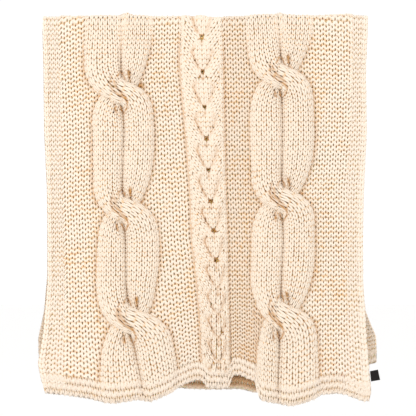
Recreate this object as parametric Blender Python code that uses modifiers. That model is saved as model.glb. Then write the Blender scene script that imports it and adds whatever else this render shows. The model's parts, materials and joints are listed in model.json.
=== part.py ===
"""Hand-knitted wool throw that hangs folded in half over a bar, with the bar left out.

The throw is one knitted cloth: soft side borders, plain panels, two rope cables whose left
strand always crosses over the right one, an eyelet braid down the middle and a beaded hem at
each end. A small folded ribbon tab sits at its side, near the front hem. +Z is up, the front
of the throw faces -Y, and the origin is inside the fold, where a bar bears on the cloth.

Places on the cloth are given by x, across it from its middle, and by "run", the distance
along it from the top of the fold: above zero on the front flap, below zero on the back flap.
"""

import math

import bmesh
import bpy
import numpy as np
from mathutils import Vector

MM = 0.001

# Driving sizes, in millimetres
FOLD_RADIUS = 15.0
CLOTH = 8.5
STRAND_RISE = 25.0
NECK_RISE = 9.0
BRAID_RISE = 12.0
PANEL_RISE = 2.5
FRONT_RUN = 1035.0
BACK_RUN = 1010.0
HEM_ZONE = 330.0
MOST_THICKNESS = 50.0
FLUTE_GROWTH = 1.6

# The raised knitting lies flatter where the cloth goes over the bar
SETTLED_LEAST = 0.2
SETTLED_TO = 20.0
SETTLED_FADE = 110.0

# Crossings: half their height, how far away each edge starts to lean in, and how sharply
NECK_HALF = 36.0
OVER_REACH = 124.0
UNDER_REACH_BELOW = 165.0
UNDER_REACH_ABOVE = 240.0
OVER_LEAN_ABOVE = 3.5
OVER_LEAN_BELOW = 4.0
UNDER_LEAN_ABOVE = 2.7
UNDER_LEAN_BELOW = 3.0
NECK_SPREAD = 45.0
UNDER_DIP = 0.6
FAR_OFF = 10000.0

# Rounded sections: how square the strands and the braid are
STRAND_SQUARE = 3
STRAND_ROUND = 0.55
BRAID_SQUARE = 4
BRAID_ROUND = 0.5
LEAST_HALF = 1.0

# Braid: length of one leaf, the slant of its strands and the size of an eyelet
LEAF_PITCH = 88.0
LEAF_SLANT = 1.5
LEAF_RIDGE = 5.0
EYELET_WIDE = 12.0
EYELET_TALL = 10.0
EYELET_SIDES = 6
EYELET_REACH = 110.0
EYELET_START = 4.0

# Ribbon tab
TAB_WIDE = 29.0
TAB_OUT = 21.0
TAB_RIBBON = 0.6
TAB_PART = 0.8
TAB_GAP = 0.4
TAB_STEPS = 6
TAB_TILT = math.radians(12.0)
TAB_AT = (456.0, -32.0, -986.0)

# Lines down the cloth: x of each one at a number of runs
LINE_NAMES = (
    "left_edge", "left_border",
    "left_cable_start", "left_cable_crease", "left_cable_end",
    "braid_start", "braid_middle", "braid_end",
    "right_cable_start", "right_cable_crease", "right_cable_end",
    "right_border", "right_edge",
)
LINES = (
    (-1040, -462, -418, -338, -238, -142, -60, -3, 54, 124, 216, 314, 418, 474),
    (-935, -464, -416, -334, -236, -140, -59, -3, 53, 121, 213, 312, 416, 472),
    (-840, -448, -402, -326, -232, -140, -60, -4, 51, 118, 208, 302, 392, 442),
    (-640, -433, -396, -318, -230, -140, -60, -5, 50, 116, 205, 298, 384, 428),
    (-300, -441, -400, -328, -232, -146, -66, -10, 45, 112, 203, 296, 392, 438),
    (0, -451, -407, -334, -234, -147, -68, -13, 43, 107, 199, 299, 397, 448),
    (140, -447, -404, -334, -234, -155, -71, -10, 46, 122, 208, 290, 397, 441),
    (320, -445, -397, -310, -226, -145, -55, 0, 49, 124, 211, 297, 392, 443),
    (480, -437, -397, -308, -231, -145, -42, 10, 53, 128, 208, 297, 381, 435),
    (620, -436, -393, -296, -222, -131, -37, 23, 58, 128, 213, 297, 380, 432),
    (740, -436, -390, -300, -220, -130, -23, 31, 60, 126, 207, 300, 381, 433),
    (870, -448, -390, -286, -205, -100, -14, 34, 62, 146, 203, 303, 381, 442),
    (960, -462, -392, -288, -184, -84, -11, 34, 63, 143, 198, 308, 383, 449),
    (1015, -450, -394, -290, -172, -81, -11, 33, 64, 139, 197, 307, 384, 455),
    (1060, -438, -395, -292, -163, -80, -11, 32, 64, 137, 197, 306, 385, 443),
)

# Where each cable crosses, by run
CROSSINGS = {
    "left_cable": (-761, -437, -113, 212, 536, 833),
    "right_cable": (-820, -495, -170, 170, 509, 820),
}

# Eyelets on the braid's middle line, by run
EYELETS = (
    -903, -815, -727, -639, -551, -463, -375, -287, -199, -111, -32,
    55, 155, 252, 340, 425, 511, 594, 676,
)

# The hems: how far down each one reaches at x
FRONT_HEM = (
    (-440, 1037), (-403, 1041), (-370, 1045), (-328, 1050), (-300, 1057), (-277, 1061),
    (-250, 1062), (-207, 1056), (-188, 1052), (-154, 1059), (-122, 1046), (-101, 1038),
    (-80, 1022), (-49, 1008), (-28, 1001), (-12, 1002), (6, 1022), (62, 1024), (72, 988),
    (96, 988), (120, 1000), (137, 1005), (148, 1050), (157, 1056), (201, 1064), (233, 1070),
    (246, 1067), (272, 1060), (297, 1053), (316, 1042), (355, 1038), (368, 1038), (392, 1044),
    (434, 1060), (441, 1059),
)
BACK_HEM = (
    (-462, 962), (-400, 992), (-300, 1015), (-84, 1026), (-14, 1031), (96, 1030),
    (139, 1040), (250, 1018), (350, 992), (420, 970), (474, 956),
)

# Flutes of the hanging cloth: how far each hem stands away from the bar's plane at x
FRONT_FLUTES = (
    (-450, 6), (-371, 12), (-270, 24), (-190, 26), (-120, 17), (-70, 4), (-20, -2), (40, 0),
    (84, -5), (120, 2), (160, 18), (220, 26), (280, 20), (335, 6), (385, 6), (450, 14),
)
BACK_FLUTES = (
    (-462, 12), (-380, 4), (-280, 16), (-180, 12), (-80, 2), (20, 8), (120, 4), (220, 18),
    (320, 10), (400, 2), (474, 14),
)

# The crest isn't quite level, and small pleats stand up on it
CREST_RISE = (
    (-451, 0), (-60, -1), (27, -3), (107, 0), (192, 4), (259, 0), (369, 4), (396, 6), (448, 1),
)
CREST_PLEATS = (
    # x, height, half width
    (-222, 8, 15),
    (-54, 4, 10),
    (-15, 4, 10),
    (204, 6, 9),
)
CREST_ZONE = 34.0
CREST_FADE = 136.0

# Grid: faces between neighbouring lines, and faces along each stretch of the cloth
FACES_ACROSS = (1, 2, 4, 4, 2, 3, 3, 2, 4, 4, 2, 1)
STRAND_STEPS = (0.13, 0.5, 0.87, 1.0)
FACES_ALONG = (
    # from run, to run, faces
    (-1010, -880, 4),
    (-880, -740, 5),
    (-740, -540, 4),
    (-540, -400, 5),
    (-400, -220, 4),
    (-220, -80, 5),
    (-80, -24, 2),
    (-24, 0, 3),
    (0, 24, 3),
    (24, 130, 4),
    (130, 250, 7),
    (250, 470, 6),
    (470, 580, 7),
    (580, 780, 6),
    (780, 880, 7),
    (880, 1035, 6),
)

WOOL_COLOUR = (0.86, 0.76, 0.61, 1.0)
TAB_COLOUR = (0.02, 0.016, 0.018, 1.0)


def smooth(t):
    """A soft step from 0 to 1."""
    t = np.clip(t, 0.0, 1.0)
    return t * t * (3.0 - 2.0 * t)


def line_x(name, run):
    """x of a named line at a run."""
    column = 1 + LINE_NAMES.index(name)
    return float(np.interp(run, [row[0] for row in LINES], [row[column] for row in LINES]))


def from_table(table, x):
    return float(np.interp(x, [row[0] for row in table], [row[1] for row in table]))


def left_pull_before(run, neck):
    """How far the upper left strand's outer edge has leant in, above a crossing."""
    start = neck + NECK_HALF - OVER_REACH
    return float(np.clip((run - start) / OVER_REACH, 0.0, 1.0)) ** OVER_LEAN_ABOVE


def left_pull_after(run, neck):
    """How far the strand that comes out underneath still leans in, below a crossing."""
    share = float(np.clip((run - neck + NECK_HALF) / UNDER_REACH_BELOW, 0.0, 1.0))
    return (1.0 - share) ** UNDER_LEAN_BELOW


def right_pull_before(run, neck):
    """How far the upper right strand's outer edge has leant in, above a crossing."""
    start = neck + NECK_HALF - UNDER_REACH_ABOVE
    return float(np.clip((run - start) / UNDER_REACH_ABOVE, 0.0, 1.0)) ** UNDER_LEAN_ABOVE


def right_pull_after(run, neck):
    """How far the strand that passed over still leans in, below a crossing."""
    share = float(np.clip((run - neck + NECK_HALF) / OVER_REACH, 0.0, 1.0))
    return (1.0 - share) ** OVER_LEAN_BELOW


def strands(cable, run):
    """The over strand's and the under strand's edges at a run, and the nearest crossing."""
    necks = CROSSINGS[cable]
    start = line_x(cable + "_start", run)
    crease = line_x(cable + "_crease", run)
    end = line_x(cable + "_end", run)
    near = int(np.argmin([abs(run - neck) for neck in necks]))
    neck = necks[near]
    above = necks[near - 1] if near > 0 else neck - FAR_OFF
    below = necks[near + 1] if near + 1 < len(necks) else neck + FAR_OFF
    over = [crease, crease]
    under = [crease, crease]
    if run < neck + NECK_HALF:
        pull = max(left_pull_before(run, neck), left_pull_after(run, above))
        over[0] = start + (crease - start) * pull
        pull = max(right_pull_before(run, neck), right_pull_after(run, above))
        under[1] = end - (end - crease) * pull
    if run > neck - NECK_HALF:
        pull = max(right_pull_after(run, neck), right_pull_before(run, below))
        over[1] = end - (end - crease) * pull
        pull = max(left_pull_after(run, neck), left_pull_before(run, below))
        under[0] = start + (crease - start) * pull
    return over, under, neck


def strand_height(x, edges):
    """Rounded section of a strand, 1 at its middle and 0 at its edges."""
    half = (edges[1] - edges[0]) / 2.0
    if half < LEAST_HALF:
        return 0.0
    across = min(1.0, abs(x - (edges[0] + edges[1]) / 2.0) / half)
    return (1.0 - across**STRAND_SQUARE) ** STRAND_ROUND


def cable_rise(cable, x, run):
    """Height of a cable over the plain cloth."""
    over, under, neck = strands(cable, run)
    crossing = math.exp(-(((run - neck) / NECK_SPREAD) ** 2))
    top = strand_height(x, over) * (STRAND_RISE + NECK_RISE * crossing)
    low = strand_height(x, under) * STRAND_RISE * (1.0 - UNDER_DIP * crossing)
    return max(top, low)


def braid_rise(x, run):
    """Height of the braid: soft ridges that run down and in from both sides to its middle."""
    middle = line_x("braid_middle", run)
    side = "braid_start" if x < middle else "braid_end"
    half = abs(line_x(side, run) - middle)
    across = min(1.0, abs(x - middle) / half)
    nearest = min(EYELETS, key=lambda eyelet: abs(eyelet - run))
    phase = (run - nearest + across * half * LEAF_SLANT) / LEAF_PITCH
    ridge = LEAF_RIDGE * math.cos(2.0 * math.pi * phase)
    return (BRAID_RISE - ridge) * (1.0 - across**BRAID_SQUARE) ** BRAID_ROUND


def column_places(run):
    """x of every column of the grid at a run, each with the band that it belongs to."""
    outline = {name: line_x(name, run) for name in LINE_NAMES}
    for cable in CROSSINGS:
        over, under, _neck = strands(cable, run)
        outline[cable + "_start"] = min(over[0], under[0])
        outline[cable + "_end"] = max(over[1], under[1])
    edges = [outline[name] for name in LINE_NAMES]
    places = [edges[0]]
    for low, high, faces in zip(edges, edges[1:], FACES_ACROSS):
        steps = [(step + 1) / faces for step in range(faces)]
        if faces == len(STRAND_STEPS):
            steps = STRAND_STEPS
        places += [low + (high - low) * step for step in steps]
    return places


def column_bands():
    """The name of the band that each column lies in, or None on a line."""
    names = ("border", "panel", "left_cable", "left_cable", "panel", "braid", "braid", "panel",
             "right_cable", "right_cable", "panel", "border")
    bands = [None]
    for name, after, faces in zip(names, names[1:] + (None,), FACES_ACROSS):
        bands += [name] * (faces - 1) + [name if name == after else None]
    return bands


def row_runs():
    runs = [float(FACES_ALONG[0][0])]
    for low, high, faces in FACES_ALONG:
        runs += [low + (high - low) * (step + 1) / faces for step in range(faces)]
    return runs


def stretched_run(x, run):
    """The run of a row at x, once the hem's waves have drawn it down or up."""
    if run >= 0.0:
        drawn = from_table(FRONT_HEM, x) - FRONT_RUN
        return run + drawn * float(smooth((run - FRONT_RUN + HEM_ZONE) / HEM_ZONE))
    drawn = from_table(BACK_HEM, x) - BACK_RUN
    return run - drawn * float(smooth((-run - BACK_RUN + HEM_ZONE) / HEM_ZONE))


def inner_point(x, run):
    """Place of the cloth's inner face: round the fold, then down with the flutes."""
    rise = from_table(CREST_RISE, x) * (1.0 - float(smooth(abs(run) / CREST_FADE)))
    quarter = FOLD_RADIUS * math.pi / 2.0
    side = -1.0 if run >= 0.0 else 1.0
    if abs(run) < quarter:
        turn = run / FOLD_RADIUS
        y = -FOLD_RADIUS * math.sin(turn)
        z = FOLD_RADIUS * (math.cos(turn) - 1.0)
    else:
        flutes = FRONT_FLUTES if run >= 0.0 else BACK_FLUTES
        share = (abs(run) - quarter) / FRONT_RUN
        y = side * (FOLD_RADIUS + from_table(flutes, x) * share**FLUTE_GROWTH)
        z = -FOLD_RADIUS - (abs(run) - quarter)
    return Vector((x, y, z + rise)) * MM


def straight_run(z):
    """The run of a place on the straight front flap, from its height."""
    return FOLD_RADIUS * math.pi / 2.0 - FOLD_RADIUS - z


def settled(run):
    """How much of its height the raised knitting keeps, near the bar and away from it."""
    away = float(smooth((abs(run) - SETTLED_TO) / SETTLED_FADE))
    return SETTLED_LEAST + (1.0 - SETTLED_LEAST) * away


def thickness(band, x, run):
    """How thick the knitting is at a place, in millimetres."""
    thick = CLOTH
    if band in CROSSINGS:
        thick += cable_rise(band, x, run) * settled(run)
    elif band == "braid":
        thick += braid_rise(x, run) * settled(run)
    elif band == "panel":
        thick += PANEL_RISE
    for pleat_x, height, half_width in CREST_PLEATS:
        near = math.exp(-(((x - pleat_x) / half_width) ** 2))
        thick += height * near * (1.0 - float(smooth(abs(run) / CREST_ZONE)))
    return thick


def material(name, colour, roughness):
    made = bpy.data.materials.new(name)
    made.use_nodes = True
    shader = made.node_tree.nodes["Principled BSDF"]
    shader.inputs["Base Color"].default_value = colour
    shader.inputs["Roughness"].default_value = roughness
    shader.inputs["Metallic"].default_value = 0.0
    made.diffuse_color = colour
    return made


def add_object(name, bm, collection, finish=None):
    mesh = bpy.data.meshes.new(name)
    bm.to_mesh(mesh)
    bm.free()
    made = bpy.data.objects.new(name, mesh)
    collection.objects.link(made)
    if finish is not None:
        mesh.materials.append(finish)
    mesh.shade_smooth()
    return made


def make_throw(collection, cutters):
    """The cloth: its inner face as a grid, thickened outwards, with the eyelets cut through."""
    bands = column_bands()
    runs = row_runs()
    columns, rows = len(bands) - 1, len(runs) - 1
    bm = bmesh.new()
    bmesh.ops.create_grid(bm, x_segments=columns, y_segments=rows, size=1.0)
    shares = {}
    for vertex in bm.verts:
        column = round((vertex.co.x + 1.0) / 2.0 * columns)
        row = round((vertex.co.y + 1.0) / 2.0 * rows)
        first_x = column_places(runs[row])[column]
        run = stretched_run(first_x, runs[row])
        x = column_places(run)[column]
        shares[vertex.index] = thickness(bands[column], x, run) / MOST_THICKNESS
        vertex.co = inner_point(x, run)
    bmesh.ops.recalc_face_normals(bm, faces=bm.faces)
    bm.normal_update()
    front = min(bm.faces, key=lambda face: abs(face.calc_center_median().z + 0.5))
    outward = front.calc_center_median().y * front.normal.y > 0.0
    if not outward:
        bmesh.ops.reverse_faces(bm, faces=bm.faces)
    throw = add_object("throw", bm, collection, material("wool", WOOL_COLOUR, 0.9))
    group = throw.vertex_groups.new(name="thickness")
    for index, share in shares.items():
        group.add([index], share, "REPLACE")
    solidify = throw.modifiers.new("knitting", "SOLIDIFY")
    solidify.thickness = MOST_THICKNESS * MM
    solidify.offset = 1.0
    solidify.use_even_offset = False
    solidify.vertex_group = "thickness"
    solidify.thickness_vertex_group = 0.0
    cut = throw.modifiers.new("eyelets", "BOOLEAN")
    cut.operation = "DIFFERENCE"
    cut.operand_type = "COLLECTION"
    cut.collection = cutters
    cut.solver = "EXACT"
    return throw


def make_eyelet_cutters(cutters):
    """One short six-sided bar for each eyelet, through one flap only."""
    for number, run in enumerate(EYELETS):
        if abs(run) < 2.0 * FOLD_RADIUS:
            continue
        bm = bmesh.new()
        bmesh.ops.create_cone(
            bm, cap_ends=True, segments=EYELET_SIDES, radius1=0.5, radius2=0.5, depth=1.0
        )
        depth = EYELET_REACH - EYELET_START
        height = FOLD_RADIUS * (math.pi / 2.0 - 1.0) - abs(run)
        side = -1.0 if run >= 0.0 else 1.0
        middle = line_x("braid_middle", run)
        place = Vector((middle, side * (EYELET_START + depth / 2.0), height))
        for vertex in bm.verts:
            across, up, along = vertex.co
            vertex.co = place + Vector((across * EYELET_WIDE, -along * depth, up * EYELET_TALL))
            vertex.co *= MM
        bmesh.ops.recalc_face_normals(bm, faces=bm.faces)
        cutter = add_object(f"eyelet_{number + 1}", bm, cutters)
        cutter.hide_render = True
        cutter.display_type = "WIRE"


def make_tab(collection):
    """The ribbon tab: a strip folded round at its outer end, thickened to the ribbon."""
    bend = TAB_PART / 2.0 + TAB_RIBBON / 2.0
    straight = TAB_OUT - bend
    steps = TAB_STEPS
    path = [(0.0, -bend), (straight, -bend)]
    for step in range(1, steps):
        turn = math.pi * step / steps - math.pi / 2.0
        path.append((straight + bend * math.cos(turn), bend * math.sin(turn)))
    path += [(straight, bend), (0.0, bend)]
    bm = bmesh.new()
    bmesh.ops.create_grid(bm, x_segments=len(path) - 1, y_segments=1, size=1.0)
    place = Vector(TAB_AT)
    for vertex in bm.verts:
        step = round((vertex.co.x + 1.0) / 2.0 * (len(path) - 1))
        out, deep = path[step]
        up = vertex.co.y * TAB_WIDE / 2.0
        x = out * math.cos(TAB_TILT) - up * math.sin(TAB_TILT)
        z = out * math.sin(TAB_TILT) + up * math.cos(TAB_TILT)
        if out == 0.0:
            x = line_x("right_edge", straight_run(place.z + z)) + TAB_GAP - place.x
        vertex.co = (place + Vector((x, deep, z))) * MM
    tab = add_object("side_tab", bm, collection, material("ribbon", TAB_COLOUR, 0.6))
    solidify = tab.modifiers.new("ribbon", "SOLIDIFY")
    solidify.thickness = TAB_RIBBON * MM
    solidify.offset = 0.0
    return tab


def main():
    for old in list(bpy.data.objects):
        bpy.data.objects.remove(old, do_unlink=True)
    collection = bpy.data.collections.new("knitted_throw")
    cutters = bpy.data.collections.new("cutters")
    cutters.hide_render = True
    for new in (collection, cutters):
        bpy.context.scene.collection.children.link(new)
    make_eyelet_cutters(cutters)
    make_throw(collection, cutters)
    make_tab(collection)


main()
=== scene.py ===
import json
import math

import bmesh
import bpy
import numpy as np
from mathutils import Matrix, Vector

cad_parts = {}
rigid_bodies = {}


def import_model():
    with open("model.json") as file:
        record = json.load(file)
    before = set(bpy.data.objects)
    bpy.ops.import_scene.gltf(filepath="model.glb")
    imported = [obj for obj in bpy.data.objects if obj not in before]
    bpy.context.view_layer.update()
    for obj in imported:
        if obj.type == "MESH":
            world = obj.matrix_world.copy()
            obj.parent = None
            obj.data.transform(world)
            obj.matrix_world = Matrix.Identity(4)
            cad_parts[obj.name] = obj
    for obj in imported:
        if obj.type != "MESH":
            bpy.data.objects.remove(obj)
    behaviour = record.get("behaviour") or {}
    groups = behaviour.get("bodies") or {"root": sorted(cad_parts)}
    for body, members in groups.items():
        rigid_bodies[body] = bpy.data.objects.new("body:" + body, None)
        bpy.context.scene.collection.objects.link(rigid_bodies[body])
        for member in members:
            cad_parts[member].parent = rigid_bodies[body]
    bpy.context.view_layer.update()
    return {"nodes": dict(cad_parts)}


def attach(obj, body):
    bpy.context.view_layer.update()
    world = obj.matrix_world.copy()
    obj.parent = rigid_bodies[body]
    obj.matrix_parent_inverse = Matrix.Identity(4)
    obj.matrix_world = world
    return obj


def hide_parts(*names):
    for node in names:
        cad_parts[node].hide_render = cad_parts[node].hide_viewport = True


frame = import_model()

# The sheet and the cores are coloured as painted shade, which shows between the stitches.
# A hand-knitted wool throw, hung in half. The cloth is a thin sheet with raised cores under its
# cables and braid, and every stitch that shows is a pair of yarn strands laid over it.
# A place on the cloth is x, across it, and "along", the way down it from the top of the fold:
# above zero on the front flap, below zero on the back flap. The run of a place is how far down
# it hangs once the hem's waves have drawn its row up or down. Sizes are millimetres.

MM = 0.001

# Sizes of the cloth
FOLD_RADIUS = 15.0
QUARTER = FOLD_RADIUS * math.pi / 2.0
CLOTH = 8.5
STRAND_RISE = 25.0
NECK_RISE = 9.0
BRAID_RISE = 12.0
PANEL_RISE = 2.5
FRONT_RUN = 1035.0
BACK_RUN = 1010.0
HEM_ZONE = 330.0
FLUTE_GROWTH = 1.6

# The raised knitting lies flatter where the cloth goes over the bar
SETTLED_LEAST = 0.2
SETTLED_TO = 20.0
SETTLED_FADE = 110.0

# Yarn and gauge: the size of a row, and heights over the cloth's inner face
YARN = 3.3
ROW = 13.3
FLAT_YARN = 5.2
SHEET_INSIDE = 1.0
SHEET_OUTSIDE = 4.6
INNER_YARN = 1.0
FIRST_ROW = -int(BACK_RUN / ROW)
LAST_ROW = int(FRONT_RUN / ROW)
ROW_MARGIN = 1.0

# How the hem's last row rolls in
ROLL_MIDDLE = 2.0
ROLL_DROP = 2.5
ROLL_LEAST = 1.5

# Crossings of the cables: how far off each edge of a strand starts to lean in, and how sharply
NECK_HALF = 36.0
LEFT_IN = (124.0, 3.5)
LEFT_OUT = (165.0, 3)
RIGHT_IN = (240.0, 2.7)
RIGHT_OUT = (124.0, 4)
NECK_SPREAD = 45.0
NECK_LEAN = 32.0
LEAN_SPREAD = 60.0
UNDER_DIP = 0.6
FAR_OFF = 10000.0
HIDDEN_NECK = 0.35 * NECK_HALF

# The gap between a cable's two strands, and the line of painted shade in it
CREASE_GAP = 4.0
CREASE_NEAR = 62.0
CREASE_WIDE = 6.0
GAP_FADE = 12.0
GAP_LEAST = 0.3
LINE_LEAST = 0.5
LINE_FROM = 0.8 * NECK_HALF
LINE_FADE = 0.3 * NECK_HALF
TOUCHING = 0.01

# Round sections of the strands and the braid: how square and how round they are
STRAND_SQUARE = 3
STRAND_ROUND = 0.55
BRAID_SQUARE = 4
BRAID_ROUND = 0.5
SECTION_STEPS = 129

# The braid: its leaves, the arms that run down to its eyelets and its upright columns
LEAF_PITCH = 88.0
LEAF_SLANT = 1.5
LEAF_RIDGE = 5.0
ARM_WALES = 4
ARM_LENGTH = 60.0
ARM_DEPTH = 5.0
ARM_CREASE_WIDE = 3.5
ARM_STARTS = (3.0, 6.0)
ARM_ENDS = (58.0, 26.0)
RIGHT_CREASE = 0.6
FULL_BRAID_HALF = 50.0
OUTER_COLUMN = 12.0
UPRIGHT = 11.0
COLUMN_REACH = 4.0
INNER_REACH = 3.0
BRAID_ENDS = 0.3
EYELET_CLEAR = 12.5
EYELET_EMPTY = 0.45 * EYELET_CLEAR
# Half width of the upright columns between two arms, by distance above the next eyelet
ARM_CREASE = ((0, 7), (12, 12), (35, 20), (55, 26), (72, 17), (88, 5))

# Wales in each part, steps of its guide in a wale, and its first and last row
WALES = {"cable": 8, "border": 4, "braid": 8, "hem": 64, "inner": 3}
WALE_STEPS = {"cable": 5, "braid": 3, "hem": 2}
PANELS = (
    ("left_panel", "left_border", "left_cable_crease", 11),
    ("left_bay", "left_cable_crease", "braid_start", 11),
    ("right_bay", "braid_end", "right_cable_crease", 11),
    ("right_panel", "right_cable_crease", "right_border", 12),
)
PANEL_ROWS = (FIRST_ROW + 3, LAST_ROW - 3)
RAISED_ROWS = (FIRST_ROW, LAST_ROW - 2)
UNDER_CABLE = 9.0
BORDER_HEIGHT = FLAT_YARN + 0.5
PANEL_HEIGHT = CLOTH + PANEL_RISE - YARN

# Hem: pitch of its beaded ridges, and how many lie above its edge and turned in behind it
HEM_PITCH = 19.5
HEM_ABOVE = 2
HEM_INSIDE = 2
HEM_RISE = 1.5
HEM_FOLLOWS = 0.9
INNER_PAST = 0.15

# Thin sheet and cores
SHEET_HOLE = 1.6
SHEET_ROWS = 162
SHEET_BANDS = (
    ("left_edge", "braid_middle", 33), ("braid_middle", "braid_end", 4),
    ("braid_end", "right_edge", 28),
)
CORE_DEPTH = 2.9
CORE_FOLD = 9.0
CORE_MARGIN = 2.0
CORE_LEAST = SHEET_OUTSIDE - 1.0
CORE_FOOT = SHEET_OUTSIDE - 1.5
CORE_ENDS = 6.0
CORE_RINGS = 150
CORE_SHARES = 11
EYELET_HALF = 6.0
HALF_POINTS = 9
BRIDGE_POINTS = 5
BRIDGE_RINGS = 7

# How much painted shade each part takes, from 0 to 1
# A little even painted shade over the cables and the braid, where they face the light most
RAISED_SHADE = 0.06
# Painted shade in the strands' folds and crease, the braid's arms and round its eyelets
STRAND_SHADE = 0.9
MARK_WIDTH = 0.75
ARM_SHADE = 0.6
EYELET_SHADES = ((0.0, 0.75), (19.0, 0.7))
EYELET_MARK = (4.5, 4.0)
# Painted shade over the bays, most in the right bay's recess and growing towards its right and
# bottom,
PANEL_SHADES = {"left_panel": 0.0, "left_bay": 0.02, "right_bay": 0.12, "right_panel": 0.0}
LOWER_SHADE = 1.2
LOWER_FROM = 500.0
# and painted shadow at the foot of raised knitting
EDGE_SHADE = 0.4
EDGE_NEAR = 9.0
# A little even painted shade on the border and the hem, and painted shade on the inner edges and the
# hem's turned-in rows
BORDER_SHADE = 0.03
INNER_SHADE = 0.08
HEM_SHADE = 0.07
HEM_INNER_SHADE = 0.6
HEM_DARK_FROM = 0.3
HEM_DARK_HALF = 330.0
HEM_DARK_FADE = 60.0
# Past this share the colour turns from the painted crease shade to the darker painted hollow shade
HOLLOW_FROM = 0.75

# Small hollows where the plain knitting is pulled in beside a crossing: place as x and run,
# half length, half height, and how steeply it rises to the right in degrees
# Each is pressed in by POCKET_DEPTH and painted with shade, darkest in its middle
POCKET_DEPTH = 3.0
POCKETS = (
    (-181, 197, 11, 10, 30), (-167, 524, 7, 3, 45), (-176, 515, 8, 2.5, 55),
    (268, 169, 4, 5, 30), (146, 158, 4, 4, 0), (265, 492, 5, 5, 30), (265, 811, 6, 3, 40),
    (276, 815, 3, 2.5, 0), (161, 513, 6, 2.5, 0), (145, 513, 4, 2.5, 10), (145, 502, 4, 2.5, -10),
    (136, 476, 4, 3, -30), (-304, 519, 6, 2.5, -55), (-277, 547, 4, 2.5, -20),
    (-285, 562, 4, 3, 30), (-287, 229, 7, 2.5, 10), (-291, 241, 5, 2.5, 0),
    (153, 821, 6, 2.5, -50), (143, 840, 5, 3, -10), (134, 829, 4, 3, 0),
    (-288, 816, 6, 2.5, -50), (-296, 832, 5, 3, 0), (-164, 806, 6, 3, 40),
)

# Folds that the gathered strands show beside each crossing: two ends of each, as x from the
# crease and run from the crossing, then its depth and half width, and which strand it marks
# Each fold is pressed in to its depth and painted with crease shade along its middle
FOLDS = (
    (-12, -28, -12, -12, 7, 3.5, "over"),
    (-12, -12, -5, 3, 8, 3.5, "over"),
    (-5, 3, 2, 40, 8, 3.5, "over"),
    (-31, -40, -28, -10, 8, 3.5, "over"),
    (-28, -10, -12, 11, 6, 3.5, "over"),
    (-12, 11, 1, 27, 6, 3.5, "over"),
    (23, -58, 23, -24, 8, 3.5, "under"),
    (-21, 34, -22, 54, 8, 3.0, "under"),
)

# Slant of the rows of a panel, by run: above zero where a row rises to the right
LEVEL = ((0, 0.0),)
ROW_TILTS = {
    "left_panel": (
        (-940, 0.0), (-700, 0.1), (-200, 0.12), (-40, 0.28), (30, 0.30), (120, 0.25),
        (300, 0.16), (600, 0.10), (850, 0.06), (960, 0.0),
    ),
    "left_bay": ((-900, 0.0), (0, 0.04), (300, 0.08), (700, 0.10), (850, 0.06), (960, 0.0)),
    "right_panel": ((-900, 0.0), (0, -0.10), (150, -0.06), (500, 0.03), (850, 0.0)),
}

# x of the lines that run down the cloth, by run
LINE_NAMES = (
    "left_edge", "left_border",
    "left_cable_start", "left_cable_crease", "left_cable_end",
    "braid_start", "braid_middle", "braid_end",
    "right_cable_start", "right_cable_crease", "right_cable_end",
    "right_border", "right_edge",
)
LINES = (
    (-1040, -462, -418, -338, -238, -142, -60, -3, 54, 124, 216, 314, 418, 474),
    (-935, -464, -416, -334, -236, -140, -59, -3, 53, 121, 213, 312, 416, 472),
    (-840, -448, -402, -326, -232, -140, -60, -4, 51, 118, 208, 302, 392, 442),
    (-640, -433, -396, -318, -230, -140, -60, -5, 50, 116, 205, 298, 384, 428),
    (-300, -441, -400, -328, -232, -146, -66, -10, 45, 112, 203, 296, 392, 438),
    (0, -451, -407, -334, -234, -147, -68, -13, 43, 107, 199, 299, 397, 448),
    (140, -447, -404, -334, -234, -155, -71, -10, 46, 122, 208, 290, 397, 441),
    (320, -445, -397, -310, -226, -145, -55, 0, 49, 124, 211, 297, 392, 443),
    (480, -437, -397, -308, -231, -145, -42, 10, 53, 128, 208, 297, 381, 435),
    (620, -436, -393, -296, -222, -131, -37, 23, 58, 128, 213, 297, 380, 432),
    (740, -436, -390, -300, -220, -130, -23, 31, 60, 126, 207, 300, 381, 433),
    (870, -448, -390, -286, -205, -100, -14, 34, 62, 146, 203, 303, 381, 442),
    (960, -462, -392, -288, -184, -84, -11, 34, 63, 143, 198, 308, 383, 449),
    (1015, -450, -394, -290, -172, -81, -11, 33, 64, 139, 197, 307, 384, 455),
    (1060, -438, -395, -292, -163, -80, -11, 32, 64, 137, 197, 306, 385, 443),
)

# Run of each crossing, of each eyelet and of the closed ends of the leaves below the last one
CROSSINGS = {
    "left_cable": (-761, -437, -113, 212, 536, 833),
    "right_cable": (-820, -495, -170, 170, 509, 820),
}
STRANDS = tuple((cable, ribbon) for cable in CROSSINGS for ribbon in (0, 1))
EYELETS = (*range(-903, -110, 88), -32, 55, 155, 252, 340, 425, 511, 594, 676)
LOW_ENDS = (752, 828, 897, 966, 1042)
LEAF_ENDS = EYELETS + LOW_ENDS

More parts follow.
